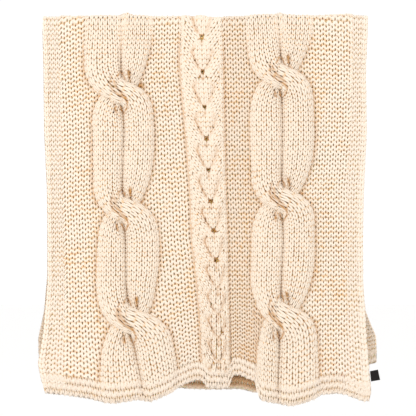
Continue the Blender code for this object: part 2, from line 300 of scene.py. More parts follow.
# By x: how far down each hem reaches, how far its flutes stand out, and the rise of the crest
FRONT_HEM = (
    (-440, 1037), (-403, 1041), (-370, 1045), (-328, 1050), (-300, 1057), (-277, 1061),
    (-250, 1062), (-207, 1056), (-188, 1052), (-154, 1059), (-122, 1046), (-101, 1038),
    (-80, 1022), (-49, 1008), (-28, 1001), (-12, 1002), (6, 1022), (62, 1024), (72, 988),
    (96, 988), (120, 1000), (137, 1005), (148, 1050), (157, 1056), (201, 1064), (233, 1070),
    (246, 1067), (272, 1060), (297, 1053), (316, 1042), (355, 1038), (368, 1038), (392, 1044),
    (434, 1060), (441, 1059),
)
BACK_HEM = (
    (-462, 962), (-400, 992), (-300, 1015), (-84, 1026), (-14, 1031), (96, 1030),
    (139, 1040), (250, 1018), (350, 992), (420, 970), (474, 956),
)
FRONT_FLUTES = (
    (-450, 6), (-371, 12), (-270, 24), (-190, 26), (-120, 17), (-70, 4), (-20, -2), (40, 0),
    (84, -5), (120, 2), (160, 18), (220, 26), (280, 20), (335, 6), (385, 6), (450, 14),
)
BACK_FLUTES = (
    (-462, 12), (-380, 4), (-280, 16), (-180, 12), (-80, 2), (20, 8), (120, 4), (220, 18),
    (320, 10), (400, 2), (474, 14),
)
CREST_RISE = (
    (-451, 0), (-60, -1), (27, -3), (107, 0), (192, 4), (259, 0), (369, 4), (396, 6), (448, 1),
)
CREST_ZONE = 34.0
# Pleats over the bar: x, height and half width
CREST_PLEATS = ((-222, 8, 15), (-54, 4, 10), (-15, 4, 10), (204, 6, 9))

# Stitches, each of two lengths of yarn. A path gives x in wales, y in rows, how far it lies
# above the yarn's middle, and the yarn's radius there
SIDES = 5
TWIST_TURNS = 2.0
PLIES = 2
PLY_SHARE = 0.35
SHADE_SHARE = 0.30
PATCH_SHARE = 0.35
KNIT_LEG = (
    (0.07, 0.70, -1.2, 0.0), (0.13, 0.38, 0.7, 3.0), (0.24, 0.0, 0.7, 3.4),
    (0.31, -0.38, -0.8, 3.1), (0.33, -0.76, -3.2, 0.0),
)
# The purl's legs bridge to the next row, so that only round gaps stay between
PURL_ARC = (
    (-0.24, 1.35, -2.0, 0.0), (-0.30, 0.17, 0.0, 3.3), (0.0, -0.21, 0.8, 3.4),
    (0.30, 0.17, 0.0, 3.3), (0.24, 1.35, -2.0, 0.0),
)
BEAD_ARC = (
    (-0.23, 1.05, -0.66, 0.0), (-0.26, 0.17, -0.4, 2.9), (0.0, -0.21, 0.8, 3.4),
    (0.26, 0.17, -0.4, 2.9), (0.23, 1.05, -0.66, 0.0),
)
# How the path is placed for each of the two: mirrored, moved across, moved down, turned over
KNIT_PAIR = ((-1.0, 0.0, 0.0, 1.0), (1.0, 0.0, 0.0, 1.0))
PURL_PAIR = ((1.0, 0.0, -0.06, 1.0), (1.0, 0.5, 0.06, -1.0))
BEAD_PAIR = ((1.0, 0.0, 0.0, 1.0), (1.0, 0.5, 0.0, -1.0))
# Name, path and pair, then how full the yarn is, how long the stitch, and how far its ends sink
STITCHES = (
    ("stitch_0_knit", KNIT_LEG, KNIT_PAIR, 1.0, 1.1, 1.0),
    ("stitch_1_purl", PURL_ARC, PURL_PAIR, 1.03, 1.0, 1.0),
    ("stitch_2_edge_knit", KNIT_LEG, KNIT_PAIR, 1.25, 1.0, 0.3),
    ("stitch_3_full_purl", PURL_ARC, PURL_PAIR, 1.16, 1.0, 1.0),
    ("stitch_4_braid_knit", KNIT_LEG, KNIT_PAIR, 1.07, 1.12, 1.0),
    ("stitch_5_hem_bead", BEAD_ARC, BEAD_PAIR, 1.25, 1.0, 1.0),
)
KNIT, PURL, EDGE_KNIT, FULL_PURL, BRAID_KNIT, HEM_BEAD = range(len(STITCHES))

# Hand knitting: how far a stitch slips from its place in wales, and how its size varies
LOOSENESS = 0.05
STITCH_SIZES = (0.94, 1.08)
SEEDS = {"panel": 11, "cable": 31, "border": 51, "braid": 71, "hem": 81, "inner": 91}

# A guide's chart counts wales across and rows down, within a unit square
CHART_SPAN = 200.0
CHART_EDGE = 0.002

# Colours
# Painted shade: the brown the yarn is mixed towards in creases, and the darker one for the deepest
# hollows
PAINTED_CREASE_SHADE = (0.56, 0.28, 0.08)
PAINTED_HOLLOW_SHADE = (0.17, 0.06, 0.01)
# The yarn's own cream; a darker tone, partly random and partly painted shade at the strand ends; the
# two painted shades
YARN_COLOURS = ((0.95, 0.84, 0.71), (0.92, 0.57, 0.24), PAINTED_CREASE_SHADE, PAINTED_HOLLOW_SHADE)
# The same with a fainter painted shade at the strand ends, for the border and the hem
FAINT_SHADE_COLOURS = ((0.95, 0.84, 0.72), (0.91, 0.71, 0.48), PAINTED_CREASE_SHADE, PAINTED_HOLLOW_SHADE)
# Painted shade for the sheet and cores that show in the gaps and eyelets, and a darker tan for the
# inner face
GAP_SHADE_COLOURS = ((0.88, 0.55, 0.25), (0.70, 0.39, 0.15), (0.80, 0.62, 0.42))
RIBBON_BLACK = (0.008, 0.006, 0.007)

# Stage and camera: the photo's pixel size, and where the fold's top and the middle lie in it
PIXEL = 2.75
TOP_PIXEL = 15.0
MIDDLE_PIXEL = 206.0
IMAGE = 416
CAMERA_DISTANCE = 7.0
FACE_DISTANCE = CAMERA_DISTANCE - 0.045
SENSOR = 36.0
FLOOR_RADIUS = 14.0
FLOOR_HEIGHT = -1.32


# Shape of the hanging cloth

def smooth(t):
    t = np.clip(t, 0.0, 1.0)
    return t * t * (3.0 - 2.0 * t)


def bell(t):
    return np.exp(-(t**2))


def from_table(table, x):
    return np.interp(x, [row[0] for row in table], [row[1] for row in table])


def line_x(name, run):
    column = 1 + LINE_NAMES.index(name)
    return np.interp(run, [row[0] for row in LINES], [row[column] for row in LINES])


def run_at(x, along):
    """Run of a place once the waves of the hem have drawn its row down or up."""
    front = from_table(FRONT_HEM, x) - FRONT_RUN
    back = from_table(BACK_HEM, x) - BACK_RUN
    down = along + front * smooth((along - FRONT_RUN + HEM_ZONE) / HEM_ZONE)
    behind = along - back * smooth((-along - BACK_RUN + HEM_ZONE) / HEM_ZONE)
    return np.where(along >= 0.0, down, behind)


def settle(along):
    """Cables and braid lie flatter where the cloth goes over the bar."""
    away = smooth((np.abs(along) - SETTLED_TO) / SETTLED_FADE)
    return SETTLED_LEAST + (1.0 - SETTLED_LEAST) * away


def cloth_point(x, along, out):
    """Place in metres at a height above the cloth's inner face; past a hem it rolls inside."""
    x, along, out = np.broadcast_arrays(*(np.asarray(v, float) for v in (x, along, out)))
    side = np.where(along >= 0.0, 1.0, -1.0)
    limit = np.where(along >= 0.0, FRONT_RUN, BACK_RUN)
    past = np.maximum(np.abs(along) - limit, 0.0)
    run = np.abs(run_at(x, side * np.minimum(np.abs(along), limit)))
    for pleat_x, height, half_width in CREST_PLEATS:
        near = bell((x - pleat_x) / half_width)
        out = out + height * near * (1.0 - smooth(run / CREST_ZONE))
    roll = np.pi * np.clip(past / ROW, 0.0, 1.0)
    drop = (np.minimum((out - ROLL_MIDDLE) / 2.0, ROLL_DROP) + ROLL_LEAST) * np.sin(roll)
    out = ROLL_MIDDLE + (out - ROLL_MIDDLE) * (1.0 + np.cos(roll)) / 2.0
    climb = np.maximum(past - ROW, 0.0)
    turn = np.minimum(run, QUARTER) / FOLD_RADIUS
    flute = np.where(side > 0.0, from_table(FRONT_FLUTES, x), from_table(BACK_FLUTES, x))
    share = np.maximum(run - QUARTER - climb, 0.0) / FRONT_RUN
    rise = from_table(CREST_RISE, x) * (1.0 - smooth(run / (4.0 * CREST_ZONE)))
    y = -side * ((FOLD_RADIUS + out) * np.sin(turn) + flute * share**FLUTE_GROWTH)
    z = (FOLD_RADIUS + out) * np.cos(turn) - FOLD_RADIUS + rise
    z = z - np.maximum(run - QUARTER, 0.0) - drop + climb
    return np.stack((x, y, z), axis=-1) * MM


def part_places(name, low, high, alongs, shares):
    """x and run between two lines of the cloth, where the part's rows may rise to one side."""
    x_low, x_high = line_x(low, alongs), line_x(high, alongs)
    x = x_low + (x_high - x_low) * shares
    tilt = from_table(ROW_TILTS.get(name, LEVEL), alongs)
    return x, alongs - tilt * (x - (x_low + x_high) / 2.0)


# The cables

def lean_in(run, neck, reach, power):
    """0 to 1 as an edge of a strand leans in to a crossing from above it."""
    return np.clip((run - (neck + NECK_HALF - reach)) / reach, 0.0, 1.0) ** power


def lean_out(run, neck, reach, power):
    """1 to 0 as it leans out again below the crossing."""
    return (1.0 - np.clip((run - (neck - NECK_HALF)) / reach, 0.0, 1.0)) ** power


def nearest_neck(cable, run):
    """Number and run of the crossing nearest to each place."""
    necks = np.array(CROSSINGS[cable], float)
    near = np.argmin(np.abs(run[..., None] - necks), axis=-1)
    return near, necks[near]


def strand_edges(cable, ribbon, run):
    """Left and right edge, height and slant of one of a cable's two strands."""
    run = np.asarray(run, float)
    near, neck = nearest_neck(cable, run)
    necks = np.array(CROSSINGS[cable], float)
    last = len(necks) - 1
    above = np.where(near > 0, necks[np.maximum(near - 1, 0)], neck - FAR_OFF)
    below = np.where(near < last, necks[np.minimum(near + 1, last)], neck + FAR_OFF)
    start, crease, end = (line_x(cable + part, run) for part in ("_start", "_crease", "_end"))
    left_above = np.maximum(lean_in(run, neck, *LEFT_IN), lean_out(run, above, *LEFT_OUT))
    left_below = np.maximum(lean_out(run, neck, *LEFT_OUT), lean_in(run, below, *LEFT_IN))
    right_above = np.maximum(lean_in(run, neck, *RIGHT_IN), lean_out(run, above, *RIGHT_OUT))
    right_below = np.maximum(lean_out(run, neck, *RIGHT_OUT), lean_in(run, below, *RIGHT_IN))
    higher = run < neck + NECK_HALF
    lower = run > neck - NECK_HALF
    over_left = np.where(higher, start + (crease - start) * left_above, crease)
    over_right = np.where(lower, end - (end - crease) * right_below, crease)
    under_left = np.where(lower, start + (crease - start) * left_below, crease)
    under_right = np.where(higher, end - (end - crease) * right_above, crease)
    is_over = near % 2 == ribbon
    left = np.where(is_over, over_left, under_left)
    right = np.where(is_over, over_right, under_right)
    crossing = bell((run - neck) / NECK_SPREAD)
    risen, dipped = STRAND_RISE + NECK_RISE * crossing, STRAND_RISE * (1.0 - UNDER_DIP * crossing)
    height = np.where(is_over, risen, dipped)
    slant = NECK_LEAN * bell((run - neck) / LEAN_SPREAD) * np.where(is_over, 1.0, -1.0)
    away = np.abs(run - neck) - NECK_HALF
    gap = CREASE_GAP * smooth(away / GAP_FADE)
    gap *= GAP_LEAST + (1.0 - GAP_LEAST) * bell(away / CREASE_NEAR)
    left = np.where(left >= crease - TOUCHING, left + gap, left)
    right = np.where(right <= crease + TOUCHING, right - gap, right)
    return left, right, height, slant


def dome(q):
    """Round section of a strand: 1 at its middle and 0 at its edges."""
    return (1.0 - np.minimum(np.abs(q), 1.0) ** STRAND_SQUARE) ** STRAND_ROUND


def braid_dome(q):
    return (1.0 - q**BRAID_SQUARE) ** BRAID_ROUND


def even_steps(width, height, profile, shares):
    """Where to stand across a raised profile so that equal shares are equal lengths of it."""
    q = np.linspace(-1.0, 1.0, SECTION_STEPS)
    steps = np.hypot(np.diff(q) * width / 2.0, np.diff(profile(q)) * height)
    length = np.concatenate(([0.0], np.cumsum(steps)))
    return np.interp(np.asarray(shares) * length[-1], length, q)


def strand_rows(cable, ribbon, alongs, shares, base, wider=0.0):
    """Grid of places over one strand, one row for each along."""
    rows = []
    height, slant = strand_edges(cable, ribbon, alongs)[2:]
    lefts = strand_edges(cable, ribbon, alongs + slant)[0]
    rights = strand_edges(cable, ribbon, alongs - slant)[1]
    for along, lean, left, right, rise in zip(alongs, slant, lefts, rights, height * settle(alongs)):
        q = even_steps(math.hypot(right - left, 2.0 * lean), rise, dome, shares)
        x = left + (right - left) * (q + 1.0) / 2.0
        depth, _dark = fold_marks(cable, ribbon, x, along - lean * q, wider)
        out = base + np.maximum(dome(q) * rise - depth, 0.0)
        rows.append(cloth_point(x, along - lean * q, out))
    return np.array(rows)


def strand_shades(cable, ribbon, alongs, shares):
    """How much painted shade each place of a strand's grid takes in its folds and crease, 0 to 1."""
    left, right, _height, slant = (v[:, None] for v in strand_edges(cable, ribbon, alongs))
    q = 2.0 * shares - 1.0
    x = left + (right - left) * (q + 1.0) / 2.0
    _depth, dark = fold_marks(cable, ribbon, x, alongs[:, None] - slant * q)
    return dark * settle(alongs)[:, None]


def fold_marks(cable, ribbon, x, run, wider=0.0):
    """Depth of the folds at places on a strand, and how much painted shade folds and crease line
    give.
    """
    near, neck = nearest_neck(cable, run)
    is_over = near % 2 == ribbon
    aside = x - line_x(cable + "_crease", neck)
    down = run - neck
    depth = np.zeros_like(x)
    dark = np.zeros_like(x)
    for x0, run0, x1, run1, deep, half_width, which in FOLDS:
        along_x, along_run = x1 - x0, run1 - run0
        share = ((aside - x0) * along_x + (down - run0) * along_run) / (along_x**2 + along_run**2)
        share = np.clip(share, 0.0, 1.0)
        away = np.hypot(aside - x0 - share * along_x, down - run0 - share * along_run)
        away = np.maximum(away - wider, 0.0)
        shown = is_over == (which == "over")
        depth = np.maximum(depth, deep * bell(away / half_width) * shown)
        dark = np.maximum(dark, bell(away / (MARK_WIDTH * half_width)) * shown)
    between = np.abs(x - line_x(cable + "_crease", run))
    neck_near = bell((np.abs(down) - NECK_HALF) / CREASE_NEAR)
    apart = smooth((np.abs(down) - LINE_FROM) / LINE_FADE)
    strength = (LINE_LEAST + (1.0 - LINE_LEAST) * neck_near) * apart
    return depth, np.maximum(dark, bell(between / CREASE_WIDE) * strength)


def cable_height(x, run):
    """Height of both cables over the plain cloth, as one rounded surface."""
    total = np.zeros_like(x)
    for cable, ribbon in STRANDS:
        left, right, height, _slant = strand_edges(cable, ribbon, run)
        half = np.maximum((right - left) / 2.0, 1.0)
        q = np.clip((x - (left + right) / 2.0) / half, -1.0, 1.0)
        total = np.maximum(total, dome(q) * height)
    return total


# The braid

def to_next_end(run):
    """How far down it is to the end of the leaf: the next eyelet, or where one would be."""
    stops = np.array(LEAF_ENDS, float)
    next_one = np.minimum(np.searchsorted(stops, run), len(stops) - 1)
    return np.abs(stops[next_one] - run)


def braid_lines(run):
    return (line_x("braid_" + name, run) for name in ("start", "middle", "end"))


def braid_half(x, run):
    """Half width of the braid on the side of its middle where x lies."""
    start, middle, end = braid_lines(run)
    return np.where(x < middle, middle - start, end - middle)


def crease_away(x, run):
    """How far from the braid's middle the crease on that side lies."""
    full = np.minimum(braid_half(x, run) / FULL_BRAID_HALF, 1.0)
    return from_table(ARM_CREASE, to_next_end(run)) * full


def arm_crease(x, run):
    """Sharpness, 0 to 1, of the creases that run down and in to each eyelet."""
    down = to_next_end(run)
    middle = line_x("braid_middle", run)
    away = np.abs(np.abs(x - middle) - crease_away(x, run))
    fade = smooth((down - ARM_STARTS[0]) / ARM_STARTS[1])
    fade *= 1.0 - smooth((down - ARM_ENDS[0]) / ARM_ENDS[1])
    side = np.where(x < middle, 1.0, RIGHT_CREASE)
    return bell(away / ARM_CREASE_WIDE) * fade * side


def braid_height(x, run):
    half = braid_half(x, run)
    across = np.clip(np.abs(x - line_x("braid_middle", run)) / half, 0.0, 1.0)
    phase = np.interp(run + across * half * LEAF_SLANT, LEAF_ENDS, np.arange(len(LEAF_ENDS)))
    ridge = LEAF_RIDGE * np.cos(2.0 * np.pi * phase) + ARM_DEPTH * arm_crease(x, run)
    return (BRAID_RISE - ridge) * braid_dome(across)


def braid_rows(alongs, shares, base):
    rows = []
    for along in alongs:
        start, _middle, end = braid_lines(along)
        q = even_steps(end - start, BRAID_RISE, braid_dome, shares)
        x = start + (end - start) * (q + 1.0) / 2.0
        height = braid_height(x, np.full_like(x, along))
        rows.append(cloth_point(x, along, base + height * settle(along)))
    return np.array(rows)


# Meshes

def place_object(name, mesh):
    made = bpy.data.objects.new(name, mesh)
    bpy.context.scene.collection.objects.link(made)
    return made


def object_of(name, bm, material=None):
    """The object made of loose mesh data, smooth and turned outwards."""
    bmesh.ops.recalc_face_normals(bm, faces=bm.faces)
    mesh = bpy.data.meshes.new(name)
    bm.to_mesh(mesh)
    bm.free()
    mesh.shade_smooth()
    if material:
        mesh.materials.append(material)
    return place_object(name, mesh)


def add_attribute(mesh, name, kind, values):
    """Gives each point of a mesh a value, or a place."""
    made = mesh.attributes.new(name, kind, "POINT")
    number = np.int32 if kind == "INT" else np.float32
    field = "vector" if kind == "FLOAT_VECTOR" else "value"
    made.data.foreach_set(field, np.asarray(values, float).astype(number).ravel())


def ring_faces(bm, rings):
    """Faces between closed rings of points; a ring of one point is a tip."""
    count = max(len(ring) for ring in rings)
    for low, high in zip(rings, rings[1:]):
        for side in range(count):
            after = (side + 1) % count
            corners = (low[side % len(low)], high[side % len(high)],
                       high[after % len(high)], low[after % len(low)])
            bm.faces.new(list(dict.fromkeys(corners)))


def outward_normals(grid):
    """Unit normals of a grid of places, pointing away from the cloth's inside."""
    normal = np.cross(np.gradient(grid, axis=0), np.gradient(grid, axis=1))
    normal /= np.maximum(np.linalg.norm(normal, axis=-1, keepdims=True), 1e-12)
    return normal


def lay_surface(name, grid, wales, rows, deep=0.0):
    """A guide that stitches are laid on: its chart counts wales across and rows down."""
    down, across = grid.shape[:2]
    starts = [row * across + column for row in range(down - 1) for column in range(across - 1)]
    mesh = bpy.data.meshes.new(name)
    mesh.from_pydata([tuple(p) for p in grid.reshape(-1, 3)], [],
                     [(a, a + across, a + across + 1, a + 1) for a in starts])
    u, v = np.meshgrid(np.linspace(*wales, across), np.linspace(*rows, down))
    chart = np.stack((u / CHART_SPAN + 0.5, v / CHART_SPAN + 0.5, np.zeros_like(u)), axis=-1)
    add_attribute(mesh, "chart", "FLOAT_VECTOR", chart)
    add_attribute(mesh, "outward", "FLOAT_VECTOR", outward_normals(grid))
    # deep: how much painted shade the stitches laid here take
    deep = np.broadcast_to(np.asarray(deep, float)[..., None], grid.shape)
    add_attribute(mesh, "deep", "FLOAT_VECTOR", deep)
    return place_object(name, mesh)


def yarn_mesh(name, strands):
    """Short lengths of yarn, closed at both ends, as one small mesh."""
    bm = bmesh.new()
    ends, winding = [], []
    for strand in strands:
        path = [Vector((u * ROW, v * ROW, height)) for u, v, height, _radius in strand]
        last = len(path) - 1
        rings = []
        for step, centre in enumerate(path):
            ahead = (path[min(step + 1, last)] - path[max(step - 1, 0)]).normalized()
            sideways = ahead.cross(Vector((0.0, 0.0, 1.0))).normalized()
            upward = sideways.cross(ahead).normalized()
            ring = []
            for side in range(1 if step in (0, last) else SIDES):
                turn = 2.0 * math.pi * (side + 0.5) / SIDES
                offset = math.cos(turn) * sideways + math.sin(turn) * upward
                point = centre + strand[step][3] * offset
                ring.append(bm.verts.new((point.x / ROW, point.y / ROW, point.z * MM)))
                # 1 in the middle of a strand, 0 at its ends: the yarn is painted darker towards its
                # ends, as shade in the gaps
                ends.append(1.0 - abs(2.0 * step / last - 1.0))
                winding.append((side / SIDES, step / last, 0.0))
            rings.append(ring)
        ring_faces(bm, rings)
    made = object_of(name, bm)
    add_attribute(made.data, "ends", "FLOAT", ends)
    add_attribute(made.data, "winding", "FLOAT_VECTOR", winding)
    return made


def stitch(name, path, pair, full, reach, sink):
    """One stitch: two lengths of yarn along the same path."""
    strands = []
    for mirror, across, down, way in pair:
        strands.append([
            (across + mirror * u, down + way * v * reach, h * (sink if h < 0.0 else 1.0), r * full)
            for u, v, h, r in path
        ])
    return yarn_mesh(name, strands)


# Node trees

class Nodes:
    """A node tree to build on."""

    def __init__(self, tree):
        self.tree = tree

    def feed(self, node, inputs):
        """Sets each input of a node, or links it to another node's output."""
        for name, value in inputs.items():
            if isinstance(value, bpy.types.NodeSocket):
                self.tree.links.new(value, node.inputs[name])
            else:
                node.inputs[name].default_value = value

    def add(self, kind, inputs=None, **settings):
        node = self.tree.nodes.new(kind)
        for name, value in settings.items():
            setattr(node, name, value)
        self.feed(node, inputs or {})
        return node

    def math(self, kind, *values):
        return self.add("ShaderNodeMath", dict(enumerate(values)), operation=kind).outputs[0]

    def vector_math(self, kind, inputs):
        return self.add("ShaderNodeVectorMath", inputs, operation=kind).outputs[0]

    def parts(self, vector):
        return self.add("ShaderNodeSeparateXYZ", {0: vector}).outputs

    def named(self, name, kind):
        node = self.add("GeometryNodeInputNamedAttribute", {"Name": name}, data_type=kind)
        return node.outputs["Attribute"]

    def random(self, kind, inputs):
        return self.add("FunctionNodeRandomValue", inputs, data_type=kind).outputs["Value"]

    def store(self, geometry, name, domain, value):
        inputs = {"Geometry": geometry, "Name": name, "Value": value}
        return self.add("GeometryNodeStoreNamedAttribute", inputs, data_type="FLOAT",
                        domain=domain).outputs[0]

    def painted(self, name):
        return self.add("ShaderNodeAttribute", attribute_name=name).outputs

    def texture(self, kind, inputs, **settings):
        place = self.add("ShaderNodeTexCoord").outputs["Object"]
        return self.add(kind, {"Vector": place, **inputs}, **settings).outputs["Fac"]

    def ramp(self, factor, stops):
        node = self.add("ShaderNodeValToRGB", {0: factor})
        for element, (place, colour) in zip(node.color_ramp.elements, stops):
            element.position = place
            element.color = (*colour, 1.0)
        return node.outputs[0]

    def mix(self, factor, first, colour):
        inputs = {"Factor": factor, "A": first, "B": (*colour, 1.0)}
        return self.add("ShaderNodeMix", inputs, data_type="RGBA").outputs["Result"]

    def bump(self, height, strength, distance):
        inputs = {"Height": height, "Strength": strength, "Distance": distance}
        return self.add("ShaderNodeBump", inputs).outputs[0]


TREE_INPUTS = (
    ("Chart", "Geometry"), ("Surface", "Object"), ("Stitches", "Collection"),
    ("Yarn", "Material"), ("Looseness", "Float"), ("Seed", "Int"), ("First wale", "Float"),
    ("Last wale", "Float"), ("First row", "Float"), ("Last row", "Float"),
)


def stitch_tree():
    """Puts a stitch on each place of a chart, joins them and lays them on a guide surface."""
    tree = bpy.data.node_groups.new("lay_stitches", "GeometryNodeTree")
    for name, kind in TREE_INPUTS:
        tree.interface.new_socket(name=name, in_out="INPUT", socket_type="NodeSocket" + kind)
    tree.interface.new_socket(name="Stitches", in_out="OUTPUT", socket_type="NodeSocketGeometry")
    nodes = Nodes(tree)
    given = nodes.add("NodeGroupInput").outputs

    # Each stitch sits a little off its place, as in hand knitting
    slip = nodes.random("FLOAT_VECTOR", {"Min": (-1.0, -1.0, 0.0), "Max": (1.0, 1.0, 0.0),
                                         "Seed": given["Seed"]})
    slip = nodes.vector_math("SCALE", {0: slip, "Scale": given["Looseness"]})
    moved = nodes.add("GeometryNodeSetPosition", {"Geometry": given["Chart"], "Offset": slip})
    choice = nodes.add("GeometryNodeCollectionInfo", {
        "Collection": given["Stitches"], "Separate Children": True, "Reset Children": True})
    size = nodes.random("FLOAT", {"Min": STITCH_SIZES[0], "Max": STITCH_SIZES[1],
                                  "Seed": nodes.math("ADD", given["Seed"], 7.0)})
    turn = nodes.add("ShaderNodeCombineXYZ", {"Z": nodes.named("turn", "FLOAT")})
    spin = nodes.add("FunctionNodeEulerToRotation", {0: turn.outputs[0]})
    scale = nodes.add("ShaderNodeCombineXYZ", {"X": size, "Y": size, "Z": size})
    placed = nodes.add("GeometryNodeInstanceOnPoints", {
        "Points": moved.outputs[0], "Instance": choice.outputs[0], "Pick Instance": True,
        "Instance Index": nodes.named("stitch", "INT"), "Rotation": spin.outputs[0],
        "Scale": scale.outputs[0]})

    # The shade of each stitch differs slightly
    shade = nodes.random("FLOAT", {"Seed": nodes.math("ADD", given["Seed"], 3.0)})
    marked = nodes.store(placed.outputs[0], "shade", "INSTANCE", shade)
    realized = nodes.add("GeometryNodeRealizeInstances", {0: marked})

    # From the flat chart onto the hanging cloth
    surface = nodes.add("GeometryNodeObjectInfo", {"Object": given["Surface"]})
    position = nodes.add("GeometryNodeInputPosition").outputs[0]
    flat = nodes.parts(position)
    chart = nodes.add("ShaderNodeCombineXYZ")
    for axis, first, last in (("X", "First wale", "Last wale"), ("Y", "First row", "Last row")):
        kept = nodes.math("MAXIMUM", flat[axis], given[first])
        kept = nodes.math("MINIMUM", kept, given[last])
        shifted = nodes.math("DIVIDE", kept, CHART_SPAN)
        nodes.feed(chart, {axis: nodes.math("ADD", shifted, 0.5)})

    def sampled(value):
        return nodes.add("GeometryNodeSampleUVSurface", {
            "Mesh": surface.outputs["Geometry"], "Value": value,
            "Source UV Map": nodes.named("chart", "FLOAT_VECTOR"),
            "Sample UV": chart.outputs[0]}, data_type="FLOAT_VECTOR").outputs["Value"]

    outward = sampled(nodes.named("outward", "FLOAT_VECTOR"))
    lift = nodes.vector_math("SCALE", {0: outward, "Scale": flat["Z"]})
    spot = nodes.vector_math("ADD", {0: sampled(position), 1: lift})
    # Each stitch takes the painted shade of the guide under it
    depth = nodes.parts(sampled(nodes.named("deep", "FLOAT_VECTOR")))["X"]
    with_painted_shade = nodes.store(realized.outputs[0], "deep", "POINT", depth)
    laid = nodes.add("GeometryNodeSetPosition", {"Geometry": with_painted_shade, "Position": spot})
    turned = nodes.add("GeometryNodeFlipFaces", {"Mesh": laid.outputs[0]})
    coloured = nodes.add("GeometryNodeSetMaterial", {
        "Geometry": turned.outputs[0], "Material": given["Yarn"]})
    nodes.add("NodeGroupOutput", {0: coloured.outputs[0]})
    return tree


def chart_points(name, places):
    """Places on a chart as loose points: wale, row, which stitch, and its turn."""
    mesh = bpy.data.meshes.new(name)
    mesh.from_pydata([(wale, row, 0.0) for wale, row, _kind, _turn in places], [], [])
    add_attribute(mesh, "stitch", "INT", places[:, 2])
    add_attribute(mesh, "turn", "FLOAT", places[:, 3])
    return place_object(name, mesh)


# Materials

def new_material(name, values):
    """A material whose shader has these values, with its nodes and that shader."""
    made = bpy.data.materials.new(name)
    made.use_nodes = True
    nodes = Nodes(made.node_tree)
    shader = made.node_tree.nodes["Principled BSDF"]
    nodes.feed(shader, values)
    return made, nodes, shader


def wool_yarn(name, light, dark, crease, hollow):
    """Soft matt wool: plies that wind round the yarn, fine fibres and a slightly uneven shade.

    Each strand is painted darker towards its ends, as shade where it dips into the gaps.
    Where the knitting is gathered into a crease its colour is mixed towards a painted crease
    shade, and in the middle of the deepest hollows towards a darker painted shade."""
    made, nodes, shader = new_material(name, {
        "Roughness": 0.88, "Sheen Weight": 0.25, "Sheen Roughness": 0.5,
        "Specular IOR Level": 0.2})
    patches = nodes.texture("ShaderNodeTexNoise", {"Scale": 9.0})
    total = nodes.math("MULTIPLY_ADD", nodes.painted("shade")["Fac"], SHADE_SHARE,
                       nodes.painted("ends")["Fac"])
    total = nodes.math("MULTIPLY_ADD", patches, PATCH_SHARE, total)
    colour = nodes.ramp(total, ((0.36, dark), (0.82, light)))
    # deep: how much painted shade this place takes
    deep = nodes.painted("deep")["Fac"]
    for under, first, last in ((crease, 0.0, HOLLOW_FROM), (hollow, HOLLOW_FROM, 1.0)):
        share = nodes.add("ShaderNodeMapRange", {
            "Value": deep, "From Min": first, "From Max": last})
        colour = nodes.mix(share.outputs["Result"], colour, under)
    winding = nodes.parts(nodes.painted("winding")["Vector"])
    angle = nodes.math("MULTIPLY_ADD", winding["Y"], TWIST_TURNS, winding["X"])
    plies = nodes.math("SINE", nodes.math("MULTIPLY", angle, 2.0 * math.pi * PLIES))
    fibres = nodes.texture("ShaderNodeTexNoise", {"Scale": 700.0, "Detail": 3.0})
    relief = nodes.math("MULTIPLY_ADD", plies, PLY_SHARE, fibres)
    nodes.feed(shader, {"Base Color": colour, "Normal": nodes.bump(relief, 0.35, 0.0006)})
    return made


def painted_shade_wool(name, light, dark, face):
    """Painted shade for the gaps between the stitches, where the sheet and cores show, and a
    darker tan painted as shade on the cloth's inner face, with its rows pressed in.
    """
    made, nodes, shader = new_material(name, {
        "Roughness": 0.95, "Specular IOR Level": 0.1, "Subsurface Weight": 0.6,
        "Subsurface Radius": (1.0, 0.5, 0.22), "Subsurface Scale": 0.012})
    noise = nodes.texture("ShaderNodeTexNoise", {"Scale": 140.0})
    colour = nodes.ramp(noise, ((0.3, dark), (0.7, light)))
    colour = nodes.mix(nodes.painted("inner")["Fac"], colour, face)
    rows = nodes.texture("ShaderNodeTexWave", {
        "Scale": math.pi / 10.0 / (ROW * MM), "Distortion": 1.5, "Detail Scale": 3.0},
        bands_direction="Z")
    relief = nodes.math("ADD", noise, rows)
    nodes.feed(shader, {"Base Color": colour, "Normal": nodes.bump(relief, 0.6, 0.002)})
    return made


def woven_ribbon(name):
    made, nodes, shader = new_material(name, {
        "Base Color": (*RIBBON_BLACK, 1.0), "Roughness": 0.6, "Specular IOR Level": 0.2})
    weave = nodes.texture("ShaderNodeTexWave", {"Scale": 420.0}, bands_direction="Z")
    nodes.feed(shader, {"Normal": nodes.bump(weave, 0.5, 0.0003)})
    return made


# The sheet and the cores under the raised knitting

